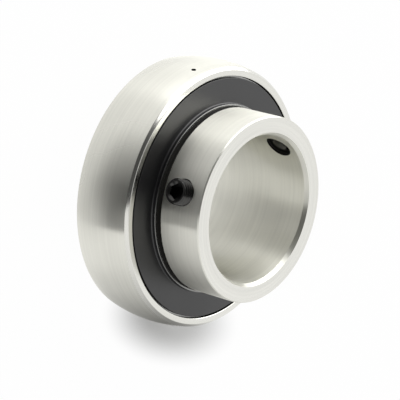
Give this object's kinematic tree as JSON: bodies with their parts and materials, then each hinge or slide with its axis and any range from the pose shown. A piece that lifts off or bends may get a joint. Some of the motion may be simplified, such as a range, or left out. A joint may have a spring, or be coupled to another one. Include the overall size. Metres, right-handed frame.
{
  "type": "insert bearing",
  "caption": "Ball bearing insert with a ball-shaped outside that lines itself up in a housing, and a long inner collar that set screws clamp to the shaft.",
  "frame": {"origin": "centre of the ball-shaped outside, on the bearing's axis", "axes": "+Z along the bearing's axis towards the long collar; set screw 1 stands 2.5 degrees from -Y, towards +X, and set screw 2 stands 120 degrees from it"},
  "size_m": [0.1, 0.1, 0.0556],
  "materials": {
    "ring_steel": "hardened bearing steel, ground, satin",
    "ball_steel": "polished bearing steel",
    "cage_steel": "pressed sheet steel",
    "rivet_steel": "headed steel wire",
    "seal_steel": "pressed sheet steel",
    "seal_rubber": "moulded nitrile rubber",
    "flinger_black": "black coated sheet steel, semi-gloss",
    "screw_steel": "black oxide, oiled"
  },
  "bodies": {
    "outer": {"outer_ring": "ring_steel", "front_seal_shell": "seal_steel", "back_seal_shell": "seal_steel", "front_seal_lip": "seal_rubber", "back_seal_lip": "seal_rubber"},
    "inner": {"inner_ring": "ring_steel", "front_flinger": "flinger_black", "back_flinger": "flinger_black"},
    "cage": {"cage_half_front": "cage_steel", "cage_half_back": "cage_steel", "cage_rivet_01": "rivet_steel", "cage_rivet_02": "rivet_steel", "cage_rivet_03": "rivet_steel", "cage_rivet_04": "rivet_steel", "cage_rivet_05": "rivet_steel", "cage_rivet_06": "rivet_steel", "cage_rivet_07": "rivet_steel", "cage_rivet_08": "rivet_steel", "cage_rivet_09": "rivet_steel", "cage_rivet_10": "rivet_steel"},
    "ball_01": {"ball_01": "ball_steel"},
    "ball_02": {"ball_02": "ball_steel"},
    "ball_03": {"ball_03": "ball_steel"},
    "ball_04": {"ball_04": "ball_steel"},
    "ball_05": {"ball_05": "ball_steel"},
    "ball_06": {"ball_06": "ball_steel"},
    "ball_07": {"ball_07": "ball_steel"},
    "ball_08": {"ball_08": "ball_steel"},
    "ball_09": {"ball_09": "ball_steel"},
    "ball_10": {"ball_10": "ball_steel"},
    "set_screw_1": {"set_screw_1": "screw_steel"},
    "set_screw_2": {"set_screw_2": "screw_steel"}
  },
  "joints": [
    {"name": "inner_turn", "type": "hinge", "parent": "outer", "child": "inner", "pos_m": [0, 0, 0], "axis": [0, 0, 1], "continuous": true},
    {"name": "cage_turn", "type": "hinge", "parent": "outer", "child": "cage", "pos_m": [0, 0, 0], "axis": [0, 0, 1], "continuous": true},
    {"name": "ball_01_roll", "type": "hinge", "parent": "cage", "child": "ball_01", "pos_m": [0.03875, 0, 0], "axis": [0, 0, 1], "continuous": true},
    {"name": "ball_02_roll", "type": "hinge", "parent": "cage", "child": "ball_02", "pos_m": [0.03135, 0.02278, 0], "axis": [0, 0, 1], "continuous": true},
    {"name": "ball_03_roll", "type": "hinge", "parent": "cage", "child": "ball_03", "pos_m": [0.01197, 0.03685, 0], "axis": [0, 0, 1], "continuous": true},
    {"name": "ball_04_roll", "type": "hinge", "parent": "cage", "child": "ball_04", "pos_m": [-0.01197, 0.03685, 0], "axis": [0, 0, 1], "continuous": true},
    {"name": "ball_05_roll", "type": "hinge", "parent": "cage", "child": "ball_05", "pos_m": [-0.03135, 0.02278, 0], "axis": [0, 0, 1], "continuous": true},
    {"name": "ball_06_roll", "type": "hinge", "parent": "cage", "child": "ball_06", "pos_m": [-0.03875, 0, 0], "axis": [0, 0, 1], "continuous": true},
    {"name": "ball_07_roll", "type": "hinge", "parent": "cage", "child": "ball_07", "pos_m": [-0.03135, -0.02278, 0], "axis": [0, 0, 1], "continuous": true},
    {"name": "ball_08_roll", "type": "hinge", "parent": "cage", "child": "ball_08", "pos_m": [-0.01197, -0.03685, 0], "axis": [0, 0, 1], "continuous": true},
    {"name": "ball_09_roll", "type": "hinge", "parent": "cage", "child": "ball_09", "pos_m": [0.01197, -0.03685, 0], "axis": [0, 0, 1], "continuous": true},
    {"name": "ball_10_roll", "type": "hinge", "parent": "cage", "child": "ball_10", "pos_m": [0.03135, -0.02278, 0], "axis": [0, 0, 1], "continuous": true},
    {"name": "set_screw_1_travel", "type": "slide", "parent": "inner", "child": "set_screw_1", "axis": [-0.0436, 0.999, 0], "range_m": [-0.0025, 0.0031]},
    {"name": "set_screw_2_travel", "type": "slide", "parent": "inner", "child": "set_screw_2", "axis": [0.887, -0.4617, 0], "range_m": [-0.0047, 0.0009]}
  ],
  "couplings": [
    {"joint": "cage_turn", "follows": "inner_turn", "ratio": 0.40782},
    {"joint": "ball_01_roll", "follows": "inner_turn", "ratio": -2.6199},
    {"joint": "ball_02_roll", "follows": "inner_turn", "ratio": -2.6199},
    {"joint": "ball_03_roll", "follows": "inner_turn", "ratio": -2.6199},
    {"joint": "ball_04_roll", "follows": "inner_turn", "ratio": -2.6199},
    {"joint": "ball_05_roll", "follows": "inner_turn", "ratio": -2.6199},
    {"joint": "ball_06_roll", "follows": "inner_turn", "ratio": -2.6199},
    {"joint": "ball_07_roll", "follows": "inner_turn", "ratio": -2.6199},
    {"joint": "ball_08_roll", "follows": "inner_turn", "ratio": -2.6199},
    {"joint": "ball_09_roll", "follows": "inner_turn", "ratio": -2.6199},
    {"joint": "ball_10_roll", "follows": "inner_turn", "ratio": -2.6199}
  ]
}
